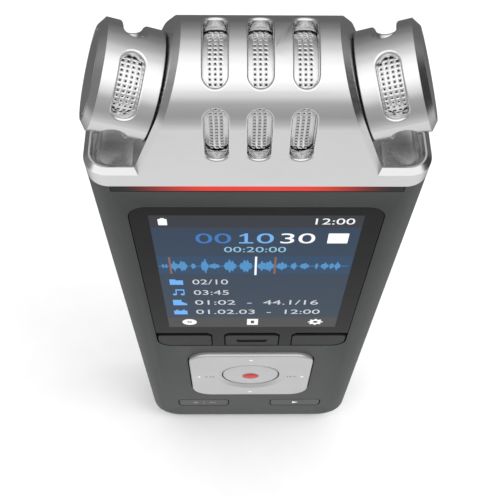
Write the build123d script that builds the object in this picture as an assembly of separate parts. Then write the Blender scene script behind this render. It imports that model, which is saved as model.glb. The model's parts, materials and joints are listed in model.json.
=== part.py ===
"""Handheld voice recorder with three microphones, as separate pieces.

X runs to the right, Y from the front to the back and Z up. The recorder stands on its bottom
end, and the origin is the middle of its box at the bottom. Sizes are in millimetres.
Depths are counted from the front face towards the back.
"""
from build123d import *
import math
import os

# Whole body
body_width = 46.0
body_depth = 15.3
head_base = 107.06
corner_radius = 7.0
edge_radius = 3.3
front_wall = 2.0
side_wall = 1.5
rear_wall = 1.5
cover_depth = 3.25
cover_tab_places = (44.0, 60.0)
cover_tab_height = 9.0
seam_gap = 0.1

# Microphone head
block_foot = 16.05
block_straight = 12.49
block_chamfer = 0.7
barrel_tilt = 20.0
shoulder_height = 3.34
shoulder_chamfer = 0.75
shoulder_land = 0.25
pocket_depth = 1.4
pocket_fillet = 1.2
head_wall = 1.5
slot_width = 2.9
slot_pitch = 5.28
top_slot_start = 43.0
top_slot_end = 120.0
front_slot_end = 22.8
front_slot_drop = 6.45
slot_lip = 0.3
liner_gap = 0.05
liner_thickness = 0.4
liner_width = 16.4
liner_drop = 9.8

# Side microphone barrels, with places counted outwards from their inner ends
barrel_radius = 7.0
barrel_wall = 1.6
barrel_length = 7.8
barrel_gap = 0.2
washer_play = 0.02
barrel_bevel = 1.1
barrel_bevel_length = 0.8
barrel_height = 118.1
barrel_floor = 1.2
barrel_slots = 4
barrel_slot_width = 2.8
barrel_slot_middle = 3.7
barrel_slot_angle = 69.0
neck_radius = 2.5
neck_length = 3.6
neck_bore = 1.5
neck_clearance = 0.1
nut_radius = 3.7
nut_thickness = 1.0
cap_thickness = 1.0
cap_chamfer = 0.2
capsule_radius = 3.0
capsule_length = 3.6
boot_length = 3.0
fit_gap = 0.04

# Display window and its soft keys
window_width = 36.2
window_height = 52.4
window_bottom = 49.2
window_radius = 2.75
window_thickness = 1.25
window_sink = 0.05
window_gap = 0.12
glass_edge = 0.15
screen_width = 30.6
screen_height = 40.8
screen_top = 99.4
screen_border = 0.4
soft_key_top = 54.45
soft_key_width = 10.3
soft_key_pitch = 12.85
soft_key_radius = 0.9
soft_key_thickness = 0.75
soft_bar_width = 5.8
soft_bar_height = 1.7
soft_bar_sink = 0.2
stem_width = 6.0
stem_height = 2.4
stem_radius = 0.6

# Tilting pad, record button and lower keys
pad_width = 25.4
pad_tall = 24.6
pad_radius = 4.2
pad_height = 33.0
pad_proud = 0.8
pad_edge = 0.5
pad_gap = 0.3
pad_flange = 0.8
pad_flange_depth = 2.65
pad_flange_thickness = 0.6
pad_stud_reach = 11.3
button_radius = 5.9
button_gap = 0.25
button_sink = 0.45
button_rise = 0.3
button_flange = 0.65
button_flange_depth = 3.6
button_flange_thickness = 0.4
dish_radius = 7.3
dish_depth = 0.45
dot_radius = 1.75
dot_proud = 0.15
dot_thickness = 0.5
ring_gap = 0.4
ring_width = 0.9
ring_depth = 3.95
ring_thickness = 0.5
pivot_radius = 0.25
pivot_clearance = 0.04
pivot_length = 0.7
pivot_eye_width = 0.6
pivot_eye_radius = 0.49
lower_key_inner = 4.97
lower_key_width = 11.53
lower_key_height = 4.5
lower_key_bottom = 10.3
lower_key_radius = 1.0
key_gap = 0.15
key_edge = 0.25
key_flange = 0.6
key_flange_gap = 0.15
key_flange_thickness = 0.6
stud_radius = 1.2
stud_gap = 0.5

# Boards, display, battery and loudspeaker
board_depth = 5.85
board_thickness = 1.0
board_inset = 0.4
board_top = 105.4
dome_sheet_width = 36.4
dome_sheet_bottom = 9.3
dome_sheet_top = 56.0
dome_sheet_thickness = 0.3
dome_height = 0.35
dome_radius = 2.2
gasket_border = 1.2
gasket_thickness = 0.4
lcd_width = 34.0
lcd_height = 45.0
lcd_thickness = 2.1
lcd_frame_border = 2.0
shield_width = 16.0
shield_height = 14.0
shield_bottom = 46.0
shield_thickness = 0.9
battery_width = 34.0
battery_height = 50.0
battery_thickness = 5.0
battery_bottom = 30.0
battery_foam = 0.8
battery_pad_inset = 2.0
speaker_radius = 9.0
speaker_thickness = 3.0
speaker_height = 19.0
speaker_foam = 0.4
speaker_foam_width = 1.5
speaker_magnet_radius = 6.3
speaker_rim = 1.0
grille_hole_radius = 0.55
grille_pitch = 2.4
light_width = 39.2
light_height = 1.26
light_depth = 2.65
light_board_height = 3.4
light_board_thickness = 0.8
lamp_thickness = 0.55
lamp_width = 1.6
lamp_pitch = 10.0
head_board_width = 28.4
head_board_near = 3.6
head_board_far = 11.7
head_board_lift = 0.3
head_board_thickness = 0.8
tongue_width = 30.0
tongue_near = 11.2
tongue_drop = 4.3
centre_boot_radius = 3.6
centre_boot_height = 8.0

# Sockets, card door and switch
jack_height = 90.0
jack_bore = 1.8
jack_collar = 2.4
jack_length = 13.5
jack_width = 6.0
jack_thickness = 4.9
jack_back_wall = 0.6
usb_width = 8.94
usb_thickness = 3.2
usb_length = 7.3
usb_wall = 0.35
usb_sink = 0.4
usb_tongue = 0.7
card_height = 20.0
card_width = 14.0
card_length = 14.2
card_thickness = 1.5
card_slot_width = 11.3
card_slot_height = 0.8
card_back_wall = 1.0
door_height = 13.6
door_depth = 4.4
door_thickness = 1.2
door_edge = 0.75
door_gap = 0.2
door_grip_length = 6.0
hinge_pin_radius = 0.4
hinge_pin_hold = 1.1
hinge_clearance = 0.04
switch_height = 72.0
switch_travel = 2.0
switch_width = 2.8
recess_depth = 0.8
knob_height = 7.0
knob_depth = 3.1
knob_gap = 0.05
knob_thickness = 0.7
knob_groove = 0.25
knob_stem_height = 3.6
knob_stem_depth = 1.3
tripod_height = 90.0
tripod_thread_radius = 2.6
tripod_insert_radius = 4.4
tripod_insert_length = 5.5
tripod_boss_wall = 1.4
tripod_boss_floor = 1.0
tripod_sink = 0.2

# Screws
case_screw_radius = 1.0
case_head_radius = 1.85
case_head_thickness = 1.5
case_seat_depth = 12.4
case_post_radius = 1.9
rear_boss_radius = 2.7
top_screw_x = 18.5
top_screw_z = 103.4
low_screw_x = 14.5
low_screw_z = 6.8
board_screw_x = 18.3
board_screw_z = 46.4
board_post_radius = 1.5
small_screw_radius = 0.8
small_head_radius = 1.5
small_head_thickness = 0.8
small_screw_length = 3.2
head_screw_x = 10.0
head_screw_z = 104.9
mic_screw_x = 12.6
mic_boss_radius = 1.7
mic_boss_height = 4.0
mic_web_thickness = 2.0
screw_clearance = 0.15
post_floor = 0.6
drive_width = 0.5
drive_depth = 0.5

# Values that follow from the ones above
sides = (-1, 1)
front_y = (pad_proud - body_depth) / 2
back_depth = body_depth - rear_wall
cover_plane = body_depth - cover_depth
middle_depth = body_depth / 2
block_radius = body_depth / 2
half_width = body_width / 2
inner_half_width = half_width - side_wall
shoulder_top = head_base + shoulder_height
block_axis_height = head_base + block_straight
screen_middle = screen_top - screen_height / 2
soft_key_height = soft_key_top - window_bottom
board_back = board_depth + board_thickness
dome_front = board_depth - dome_sheet_thickness - dome_height
stud_end = dome_front - stud_gap
lcd_depth = front_wall + gasket_thickness
pivot_depth = ring_depth + ring_thickness / 2
ring_inner_radius = button_radius + button_flange + ring_gap
ring_outer_radius = ring_inner_radius + ring_width
pivot_eye_start = ring_outer_radius + seam_gap
tilt = math.radians(barrel_tilt)
jack_depth = board_back + jack_thickness / 2
card_depth = board_back + card_thickness / 2
switch_depth = board_back + knob_depth / 2 + door_gap
usb_depth = board_back + usb_thickness / 2
tripod_near = body_depth - tripod_sink - tripod_insert_length
hinge_depth = card_depth - door_depth / 2 + door_edge
hinge_x = door_edge - half_width
beyond = 60.0
spare = 1.0
overlap = 0.2


def face_plane(depth):
    """Plane at a depth, seen from the front: its x is X and its y is Z."""
    return Plane(origin=(0, front_y + depth, 0), x_dir=(1, 0, 0), z_dir=(0, -1, 0))


def pull(sketch, near, far):
    """Solid of a front-view sketch, from one depth to a deeper one."""
    return extrude(face_plane(far) * sketch, amount=far - near)


def slab(x0, x1, near, far, z0, z1):
    middle = ((x0 + x1) / 2, front_y + (near + far) / 2, (z0 + z1) / 2)
    return Pos(*middle) * Box(x1 - x0, far - near, z1 - z0)


def below(height, near=-beyond, far=beyond):
    """Everything under a height, for cutting."""
    return slab(-beyond, beyond, near, far, height - 4 * beyond, height)


def disc(radius, x, z, near, far):
    return pull(Pos(x, z) * Circle(radius), near, far)


def rounded(width, height, radius, x, z):
    return Pos(x, z) * RectangleRounded(width, height, radius)


def bar_x(radius, x0, x1, depth, z):
    """Round bar along X."""
    start = Plane(origin=(x0, front_y + depth, z), x_dir=(0, 1, 0), z_dir=(1, 0, 0))
    return extrude(start * Circle(radius), amount=x1 - x0)


def bar_z(radius, x, depth, z0, z1):
    """Round bar along Z."""
    return Pos(x, front_y + depth, z0) * extrude(Circle(radius), amount=z1 - z0)


def ordered(side, inner, outer):
    """Two distances from the middle as X values in rising order."""
    return sorted((side * inner, side * outer))


# ---- whole outline ----

def outline(inset, top):
    """Front view of the body: square at the top, round at the lower corners."""
    height = top - inset
    shape = Pos(0, inset + height / 2) * Rectangle(body_width - 2 * inset, height)
    lower = shape.vertices().group_by(Axis.Y)[0]
    return fillet(lower, corner_radius - inset)


def rounded_body(inset, near, far, radius, top):
    """Outline pulled through its depth, with round front and back edges."""
    taller = top + 4 * edge_radius
    solid = pull(outline(inset, taller), near, far)
    ends = solid.faces().sort_by(Axis.Y)
    edges = ends[0].edges() + ends[-1].edges()
    kept = [edge for edge in edges if edge.center().Z < taller - overlap]
    solid = fillet(kept, radius)
    return solid & below(top)


def envelope(top):
    return rounded_body(0, 0, body_depth, edge_radius, top)


def cavity():
    inner_radius = edge_radius - side_wall
    return rounded_body(side_wall, front_wall, back_depth, inner_radius, head_base + spare)


def case_screw_places():
    top = [(side * top_screw_x, top_screw_z) for side in sides]
    return top + [(side * low_screw_x, low_screw_z) for side in sides]


def board_screw_places():
    return [(side * board_screw_x, board_screw_z) for side in sides]


# ---- front views that a key shares with its opening ----

def window_outline(grow):
    width = window_width + 2 * grow
    height = window_height + 2 * grow
    return rounded(width, height, window_radius + grow, 0, window_bottom + window_height / 2)


def soft_key_outline(number, grow):
    """Key -1, 0 or 1: upper corners of its own, lower ones cut by the window's outline."""
    width = soft_key_width + 2 * grow
    height = 2 * soft_key_height + 2 * grow
    return rounded(width, height, soft_key_radius, number * soft_key_pitch, window_bottom)


def stem_outline(number, grow):
    middle = (soft_key_top + window_bottom) / 2
    size = (stem_width + 2 * grow, stem_height + 2 * grow)
    return rounded(*size, stem_radius, number * soft_key_pitch, middle)


def lower_key_outline(side, grow):
    x = side * (lower_key_inner + lower_key_width / 2)
    z = lower_key_bottom + lower_key_height / 2
    size = (lower_key_width + 2 * grow, lower_key_height + 2 * grow)
    return rounded(*size, lower_key_radius + grow, x, z)


def pad_outline(grow):
    return rounded(pad_width + 2 * grow, pad_tall + 2 * grow, pad_radius + grow, 0, pad_height)


# ---- body shells ----

def front_shell():
    shell = envelope(head_base) - cavity()
    shell -= slab(-beyond, beyond, cover_plane, beyond, -beyond, head_base + spare)
    shell -= pull(window_outline(window_gap), -spare, window_thickness + window_sink)
    view = rounded(screen_width + 2 * screen_border, screen_height + 2 * screen_border,
                   screen_border, 0, screen_middle)
    shell -= pull(view, 0, front_wall + spare)
    for number in (-1, 0, 1):
        shell -= pull(stem_outline(number, key_gap), 0, front_wall + spare)
    shell -= pull(pad_outline(pad_gap), -spare, front_wall + spare)
    for side in sides:
        shell -= pull(lower_key_outline(side, key_gap), -spare, front_wall + spare)
    shell -= light_slot()
    for x, z in case_screw_places():
        shell += front_post(x, z, case_post_radius, case_screw_radius)
    for x, z in board_screw_places():
        shell += front_post(x, z, board_post_radius, small_screw_radius)
    return shell - jack_holes() - door_opening() - switch_recess() - usb_hole()


def front_post(x, z, radius, pilot):
    post = disc(radius, x, z, front_wall - overlap, board_depth)
    return post - disc(pilot, x, z, front_wall + post_floor, board_depth + spare)


def light_slot():
    half = light_width / 2 + seam_gap
    low = head_base - light_height - seam_gap
    return slab(-half, half, -spare, front_wall + spare, low, head_base + spare)


def jack_holes():
    radius = jack_collar + key_gap
    return bar_x(radius, -beyond, -jack_inner(), jack_depth, jack_height) + \
        bar_x(radius, jack_inner(), beyond, jack_depth, jack_height)


def jack_inner():
    return inner_half_width - seam_gap


def door_opening():
    near = card_depth - door_depth / 2 - door_gap
    far = card_depth + door_depth / 2 + door_gap
    half = door_height / 2 + door_gap
    opening = slab(-beyond, -inner_half_width + spare, near, far, card_height - half, card_height + half)
    hold = half + hinge_pin_hold
    return opening + bar_z(hinge_pin_radius, hinge_x, hinge_depth, card_height - hold, card_height + hold)


def switch_recess():
    """Shallow finger recess in the right side, with a slot for the knob's stem."""
    floor = half_width - recess_depth
    reach = knob_height / 2 + switch_travel + door_gap
    half = knob_depth / 2 + door_gap
    recess = slab(floor, beyond, switch_depth - half, switch_depth + half,
                  switch_height - reach, switch_height + reach)
    recess = fillet(recess.edges().filter_by(Axis.X), knob_depth / 4)
    half = knob_stem_depth / 2 + key_gap
    reach = knob_stem_height / 2 + switch_travel + door_gap
    slot = slab(inner_half_width - spare, beyond, switch_depth - half, switch_depth + half,
                switch_height - reach, switch_height + reach)
    return recess + slot


def usb_shape(grow):
    thickness = usb_thickness + 2 * grow
    return SlotOverall(usb_width + 2 * grow, thickness)


def usb_hole():
    return Pos(0, front_y + usb_depth, -spare) * extrude(usb_shape(key_gap), amount=side_wall + 2 * spare)


def rear_cover():
    cover = envelope(head_base) - cavity()
    cover -= slab(-beyond, beyond, -beyond, cover_plane, -beyond, head_base + spare)
    cover += cover_tongues()
    for x, z in case_screw_places():
        cover += disc(rear_boss_radius, x, z, board_back, back_depth + overlap)
    cover += speaker_ring()
    boss_radius = tripod_insert_radius + tripod_boss_wall
    cover += disc(boss_radius, 0, tripod_height, tripod_near - tripod_boss_floor, back_depth + overlap)
    cover -= disc(tripod_insert_radius, 0, tripod_height, tripod_near, beyond)
    for x, z in case_screw_places():
        cover -= disc(case_head_radius + screw_clearance, x, z, case_seat_depth, beyond)
        cover -= disc(case_screw_radius + screw_clearance, x, z, 0, beyond)
    for side in sides:
        x = side * head_screw_x
        cover -= disc(small_head_radius + screw_clearance, x, head_screw_z, head_screw_seat(), beyond)
        cover -= disc(small_screw_radius + screw_clearance, x, head_screw_z, back_depth - spare, beyond)
    for x, z in grille_places():
        cover -= disc(grille_hole_radius, x, speaker_height + z, back_depth - spare, beyond)
    return cover


def head_screw_seat():
    return body_depth - small_head_thickness - seam_gap


def cover_tongues():
    """Four tabs that slide inside the front shell's side walls."""
    outer = inner_half_width - seam_gap
    tabs = Part()
    for side in sides:
        x0, x1 = ordered(side, outer - rear_wall, outer)
        for z in cover_tab_places:
            tabs += slab(x0, x1, cover_plane - rear_wall, back_depth, z, z + cover_tab_height)
    return tabs


def speaker_ring():
    near = back_depth - speaker_foam - speaker_thickness / 2
    ring = disc(speaker_radius + speaker_rim, 0, speaker_height, near, back_depth + overlap)
    return ring - disc(speaker_radius + seam_gap, 0, speaker_height, near - spare, back_depth)


def grille_places():
    """Hexagonal patch of holes, five across."""
    places = []
    for row in range(-2, 3):
        count = 5 - abs(row)
        z = row * grille_pitch * math.sqrt(3) / 2
        for column in range(count):
            places.append(((column - (count - 1) / 2) * grille_pitch, z))
    return places


def light_guide():
    half = light_width / 2
    return slab(-half, half, 0, light_depth, head_base - light_height, head_base)


def light_board():
    near = light_depth + lamp_thickness
    half = top_screw_x - case_post_radius - seam_gap
    top = head_base - seam_gap
    board = slab(-half, half, near, near + light_board_thickness, top - light_board_height, top)
    middle = head_base - light_height / 2
    for place in (-1, 0, 1):
        x = place * lamp_pitch
        board += slab(x - lamp_width / 2, x + lamp_width / 2, light_depth, near + overlap,
                      middle - lamp_width / 4, middle + lamp_width / 4)
    return board


# ---- microphone head ----

def side_line(height, inset):
    """Half width of the block at a height: its sides lean in by the barrels' tilt."""
    return block_foot - (height - shoulder_top) * math.tan(tilt) - inset / math.cos(tilt)


def tower(inset, x0, x1, bottom):
    """Upright block with a round top, as deep as the body less the inset on both faces."""
    shape = slab(x0, x1, inset, body_depth - inset, bottom, block_axis_height)
    return shape + bar_x(block_radius - inset, x0, x1, middle_depth, block_axis_height)


def block(inset, bottom):
    """Tower between two leaning sides."""
    top = block_axis_height + block_radius + 2 * spare
    low = side_line(bottom, inset)
    high = side_line(top, inset)
    corners = [(-low, bottom), (low, bottom), (high, top), (-high, top)]
    wedge = pull(make_face(Polyline(*corners, close=True)), -spare, body_depth + spare)
    return tower(inset, -half_width, half_width, bottom) & wedge


def is_side_rim(edge):
    """True for the edges round a leaning side, above the head's base."""
    centre = edge.center()
    ends = [abs(abs(point.X) - side_line(point.Z, 0)) < seam_gap for point in edge.vertices()]
    return all(ends) and centre.Z > head_base + spare


def outer_block():
    shape = block(0, head_base)
    rims = [edge for edge in shape.edges() if is_side_rim(edge)]
    return chamfer(rims, block_chamfer)


def shoulders():
    shape = envelope(shoulder_top) - below(head_base)
    upper = shape.faces().sort_by(Axis.Z)[-1]
    shape = chamfer(upper.edges(), shoulder_chamfer)
    for side in sides:
        shape -= pocket(side)
    return shape


def pocket(side):
    """Scoop in a shoulder, under a barrel."""
    rim = shoulder_chamfer + shoulder_land
    x0, x1 = ordered(side, side_line(shoulder_top, 0) - 2 * pocket_fillet, half_width - rim)
    scoop = slab(x0, x1, rim, body_depth - rim, shoulder_top - pocket_depth, shoulder_top + spare)
    scoop = fillet(scoop.edges().filter_by(Axis.Z), edge_radius - rim)
    lower = scoop.faces().sort_by(Axis.Z)[0]
    return fillet(lower.edges(), pocket_fillet)


def head_point(distance):
    """Depth, height and slope at a distance up the block's front and over its top."""
    if distance < 0:
        return 0.0, block_axis_height + distance, 0.0
    angle = distance / block_radius
    depth = middle_depth - block_radius * math.cos(angle)
    return depth, block_axis_height + block_radius * math.sin(angle), angle


def slot_cutter(x, start, end, width, floor, rise):
    """Slot with round ends, from one distance up the block to another."""
    low = start + width / 2
    high = end - width / 2
    cutter = Part()
    for distance in (low, high):
        depth, z, angle = head_point(distance)
        outward = (0, -math.cos(angle), math.sin(angle))
        inner = Plane(origin=(x, front_y + depth, z), x_dir=(1, 0, 0), z_dir=outward).offset(-floor)
        cutter += extrude(inner * Circle(width / 2), amount=floor + rise)
    if low < 0:
        cutter += slab(x - width / 2, x + width / 2, -rise, floor,
                       block_axis_height + low, block_axis_height + min(high, 0))
    if high > 0:
        cutter += ring_sector(x, max(low, 0) / block_radius, high / block_radius, width, floor, rise)
    return cutter


def ring_sector(x, first, last, width, floor, rise):
    """Part of a ring round the block's axis, between two angles up from the front."""
    middle = block_radius + (rise - floor) / 2
    centre = (x, front_y + middle_depth, block_axis_height)
    start = (x, centre[1] - middle * math.cos(first), centre[2] + middle * math.sin(first))
    section = Plane(origin=start, x_dir=(1, 0, 0), z_dir=(0, math.sin(first), math.cos(first)))
    axis = Axis(centre, (-1, 0, 0))
    return revolve(section * Rectangle(width, floor + rise), axis, math.degrees(last - first))


def head_slots(width, floor, rise):
    """All nine slots: a row over the top, one at the front and its twin at the back."""
    cutters = Part()
    for column in (-1, 0, 1):
        x = column * slot_pitch
        start = math.radians(top_slot_start) * block_radius
        end = math.radians(top_slot_end) * block_radius
        cutters += slot_cutter(x, start, end, width, floor, rise)
        end = math.radians(front_slot_end) * block_radius
        front = slot_cutter(x, -front_slot_drop, end, width, floor, rise)
        back = mirror(front, Plane(origin=(0, front_y + middle_depth, 0), z_dir=(0, 1, 0)))
        cutters += front + back
    return cutters


def is_slot_rim(edge):
    """True for an edge that lies in the block's front, back or round top, about the slots."""
    for place in (0, 0.25, 0.5, 0.75, 1):
        point = edge.position_at(place)
        depth = point.Y - front_y
        if point.Z > block_axis_height:
            radius = math.hypot(depth - middle_depth, point.Z - block_axis_height)
            outside = abs(radius - block_radius) < fit_gap
        else:
            outside = min(depth, body_depth - depth) < fit_gap
        inside_rows = abs(point.X) < slot_pitch + slot_width and point.Z > shoulder_top
        if not (outside and inside_rows):
            return False
    return True


def slotted_block():
    """The block with its slots, whose outer rims are rounded."""
    head = outer_block() + shoulders()
    head -= block(head_wall, head_base - spare)
    head -= head_slots(slot_width, 2 * head_wall, spare)
    rims = [edge for edge in head.edges() if is_slot_rim(edge)]
    return fillet(rims, slot_lip)


def mic_head():
    head = slotted_block() + head_bosses() + head_tongue()
    for side in sides:
        radius = neck_radius + neck_clearance
        head -= barrel_frame(side) * barrel_bar(radius, -barrel_gap - 3 * head_wall, 0)
        x = side * head_screw_x
        head -= disc(small_screw_radius, x, head_screw_z, tongue_near + post_floor, body_depth)
    return head


def head_bosses():
    """Screw bosses for the head board, each joined to its side wall by a web."""
    bosses = Part()
    low = head_base + head_board_lift + head_board_thickness
    for side in sides:
        boss = bar_z(mic_boss_radius, side * mic_screw_x, middle_depth, low, low + mic_boss_height)
        x0, x1 = ordered(side, mic_screw_x, half_width)
        half = mic_web_thickness / 2
        web = slab(x0, x1, middle_depth - half, middle_depth + half, low, low + mic_boss_height)
        high = low + small_screw_length
        pilot = bar_z(small_screw_radius, side * mic_screw_x, middle_depth, low - spare, high)
        bosses += boss + web - pilot
    return bosses & block(head_wall / 2, head_base)


def head_tongue():
    """Tongue that hangs inside the rear cover and takes the two head screws."""
    half = tongue_width / 2
    far = back_depth - seam_gap
    low = head_base - tongue_drop
    tongue = slab(-half, half, tongue_near, far, low, head_base)
    root = slab(-half, half, far - rear_wall, back_depth + overlap, head_base, head_base + head_board_lift)
    return tongue + root


def head_liner():
    """Perforated liner behind the slots, carried here as a plain sheet."""
    inset = head_wall + liner_gap
    bottom = block_axis_height - liner_drop
    half = liner_width / 2
    sheet = tower(inset, -half, half, bottom)
    return sheet - tower(inset + liner_thickness, -half - spare, half + spare, bottom - spare)


# ---- side barrels, drawn along their own axis and then put in place ----

def barrel_frame(side):
    """Place of a barrel: its axis points outwards and up, its x to the front."""
    x = side * side_line(barrel_height, -barrel_gap)
    axis = (side * math.cos(tilt), 0, math.sin(tilt))
    origin = (x, front_y + middle_depth, barrel_height)
    return Plane(origin=origin, x_dir=(0, -1, 0), z_dir=axis)


def barrel_bar(radius, low, high):
    return Pos(0, 0, low) * extrude(Circle(radius), amount=high - low)


def barrel_ring(outer, inner, low, high):
    return barrel_bar(outer, low, high) - barrel_bar(inner, low - spare, high + spare)


def barrel_profile():
    """Section of the barrel and its neck, as radius and place along the axis."""
    inner = barrel_radius - barrel_wall
    edge = barrel_length - barrel_bevel_length
    return [
        (neck_bore, -neck_length),
        (neck_radius, -neck_length),
        (neck_radius, 0),
        (barrel_radius - seam_gap, 0),
        (barrel_radius, seam_gap),
        (barrel_radius, edge),
        (barrel_radius - barrel_bevel, barrel_length),
        (inner, barrel_length),
        (inner, barrel_floor),
        (neck_bore, barrel_floor),
    ]


def barrel_slot_cutter(middle_angle, width, angle):
    """Slot with round ends, part of the way round a barrel."""
    half_angle = math.radians(angle) / 2 - width / 2 / barrel_radius
    ring = barrel_ring(barrel_radius + spare, barrel_radius - barrel_wall - spare,
                       barrel_slot_middle - width / 2, barrel_slot_middle + width / 2)
    reach = 3 * barrel_radius
    spread = reach * math.tan(half_angle)
    wedge = make_face(Polyline((0, 0), (reach, -spread), (reach, spread), close=True))
    cutter = ring & extrude(wedge, amount=barrel_length)
    for end in (-half_angle, half_angle):
        direction = (math.cos(end), math.sin(end), 0)
        foot = Plane(origin=(0, 0, barrel_slot_middle), x_dir=(0, 0, 1), z_dir=direction)
        start = foot.offset(barrel_radius - barrel_wall - spare)
        cutter += extrude(start * Circle(width / 2), amount=barrel_wall + 2 * spare)
    return Rot(0, 0, middle_angle) * cutter


def barrel(side):
    section = Plane.XZ * make_face(Polyline(*barrel_profile(), close=True))
    body = revolve(section, Axis.Z)
    step = 360 / barrel_slots
    for number in range(barrel_slots):
        body -= barrel_slot_cutter((number + 0.5) * step, barrel_slot_width, barrel_slot_angle)
    rims = [edge for edge in body.edges() if is_barrel_rim(edge)]
    return barrel_frame(side) * fillet(rims, slot_lip)


def is_barrel_rim(edge):
    """True for an edge of a slot that lies in the barrel's outer face."""
    reach = barrel_slot_width / 2 + fit_gap
    for place in (0, 0.25, 0.5, 0.75, 1):
        point = edge.position_at(place)
        outside = abs(math.hypot(point.X, point.Y) - barrel_radius) < fit_gap
        if not outside or abs(point.Z - barrel_slot_middle) > reach:
            return False
    return True


def barrel_inner_radius():
    return barrel_radius - barrel_wall - fit_gap


def barrel_cap(side):
    radius = barrel_inner_radius()
    cap = barrel_bar(radius, barrel_length - cap_thickness, barrel_length)
    rim = cap.edges().sort_by(Axis.Z)[-1]
    return barrel_frame(side) * chamfer(rim, cap_chamfer)


def barrel_mesh(side):
    outer = barrel_inner_radius()
    top = barrel_length - cap_thickness - fit_gap
    return barrel_frame(side) * barrel_ring(outer, outer - liner_thickness, barrel_floor + fit_gap, top)


def barrel_boot(side):
    outer = barrel_inner_radius() - liner_thickness - fit_gap
    low = barrel_floor + fit_gap
    return barrel_frame(side) * barrel_ring(outer, capsule_radius, low, low + boot_length)


def barrel_capsule(side):
    low = barrel_floor + 2 * seam_gap
    return barrel_frame(side) * barrel_bar(capsule_radius - fit_gap, low, low + capsule_length)


def barrel_washers():
    """Dark rubber washers between the block and the barrels."""
    inner = neck_radius + neck_clearance
    washers = Part()
    for side in sides:
        washer = barrel_ring(barrel_radius - block_chamfer, inner, washer_play - barrel_gap, 0)
        washers += barrel_frame(side) * washer
    return washers


def barrel_nuts():
    nuts = Part()
    far = -barrel_gap - head_wall
    for side in sides:
        nuts += barrel_frame(side) * barrel_ring(nut_radius, neck_radius, far - nut_thickness, far)
    return nuts


def centre_boot():
    low = head_base + head_board_lift + head_board_thickness
    high = low + centre_boot_height
    boot = bar_z(centre_boot_radius, 0, middle_depth, low, high)
    return boot - bar_z(capsule_radius, 0, middle_depth, centre_capsule_low(), high + spare)


def centre_capsule_low():
    low = head_base + head_board_lift + head_board_thickness
    return low + centre_boot_height - boot_length


def centre_capsule():
    low = centre_capsule_low()
    return bar_z(capsule_radius - fit_gap, 0, middle_depth, low, low + capsule_length)


def head_board():
    half = head_board_width / 2
    low = head_base + head_board_lift
    board = slab(-half, half, head_board_near, head_board_far, low, low + head_board_thickness)
    for side in sides:
        radius = small_screw_radius + screw_clearance
        high = low + head_board_thickness + spare
        board -= bar_z(radius, side * mic_screw_x, middle_depth, low - spare, high)
    return board


# ---- window, display and keys ----

def soft_front(solid, radius):
    """Rounds the edges of a solid's front face."""
    front = solid.faces().sort_by(Axis.Y)[0]
    return fillet(front.edges(), radius)


def display_window():
    sketch = window_outline(0)
    for number in (-1, 0, 1):
        sketch -= soft_key_outline(number, key_gap)
    window = pull(sketch, window_sink, window_sink + window_thickness)
    return soft_front(window, glass_edge)


def soft_key(number):
    face = soft_key_outline(number, 0) & window_outline(0)
    near = window_sink
    far = near + soft_key_thickness
    key = soft_front(pull(face, near, far), key_edge)
    flange_near = front_wall + key_flange_gap
    flange_far = flange_near + key_flange_thickness
    key += pull(stem_outline(number, 0), far - overlap, flange_near + overlap)
    key += pull(stem_outline(number, 1), flange_near, flange_far)
    middle = (soft_key_top + window_bottom) / 2
    key += disc(stud_radius, number * soft_key_pitch, middle, flange_far - overlap, stud_end)
    if number == 0:
        bar = rounded(soft_bar_width, soft_bar_height, soft_bar_height / 3, 0, middle)
        key -= pull(bar, 0, near + soft_bar_sink)
    return key


def display_gasket():
    inner_width = screen_width + 2 * screen_border
    inner_height = screen_height + 2 * screen_border
    outer = Rectangle(inner_width + 2 * gasket_border, inner_height + 2 * gasket_border)
    ring = Pos(0, screen_middle) * (outer - Rectangle(inner_width, inner_height))
    return pull(ring, front_wall, lcd_depth)


def lcd_module():
    half = lcd_width / 2
    low = screen_middle - lcd_height / 2
    return slab(-half, half, lcd_depth, lcd_depth + lcd_thickness, low, low + lcd_height)


def lcd_frame():
    outer = Rectangle(lcd_width, lcd_height)
    inner = Rectangle(lcd_width - 2 * lcd_frame_border, lcd_height - 2 * lcd_frame_border)
    return pull(Pos(0, screen_middle) * (outer - inner), lcd_depth + lcd_thickness, board_depth)


def nav_pad():
    """Square pad with a dished round opening for the record button."""
    pad = pull(pad_outline(0), -pad_proud, pad_flange_depth + overlap)
    pad = soft_front(pad, pad_edge)
    far = pad_flange_depth + pad_flange_thickness
    pad += pull(pad_outline(pad_flange), pad_flange_depth, far)
    pad -= disc(button_radius + button_gap, 0, pad_height, -beyond, beyond)
    pad -= pad_dish()
    for x, z in pad_stud_places():
        pad += disc(stud_radius, x, z, far - overlap, stud_end)
    for side in sides:
        pad += pad_eye(side)
    return pad


def pad_eye(side):
    """Eye behind the pad, above or below the button, that turns on the ring's pin."""
    z0, z1 = ordered(side, pivot_eye_start, pivot_eye_start + pivot_eye_width)
    root = pad_flange_depth + pad_flange_thickness - overlap
    eye = slab(-pivot_eye_radius, pivot_eye_radius, root, pivot_depth, pad_height + z0, pad_height + z1)
    eye += bar_z(pivot_eye_radius, 0, pivot_depth, pad_height + z0, pad_height + z1)
    bore = pivot_radius + pivot_clearance
    return eye - bar_z(bore, 0, pivot_depth, pad_height + z0 - spare, pad_height + z1 + spare)


def ring_saddles():
    """Two brackets on the main board that hold the ring's side pins."""
    saddles = Part()
    half = pivot_eye_radius
    for side in sides:
        x0, x1 = ordered(side, pivot_eye_start, pivot_eye_start + pivot_eye_width)
        saddle = slab(x0, x1, pivot_depth, board_depth, pad_height - half, pad_height + half)
        saddle += bar_x(pivot_eye_radius, x0, x1, pivot_depth, pad_height)
        bore = pivot_radius + pivot_clearance
        saddles += saddle - bar_x(bore, x0 - spare, x1 + spare, pivot_depth, pad_height)
    return saddles


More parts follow.
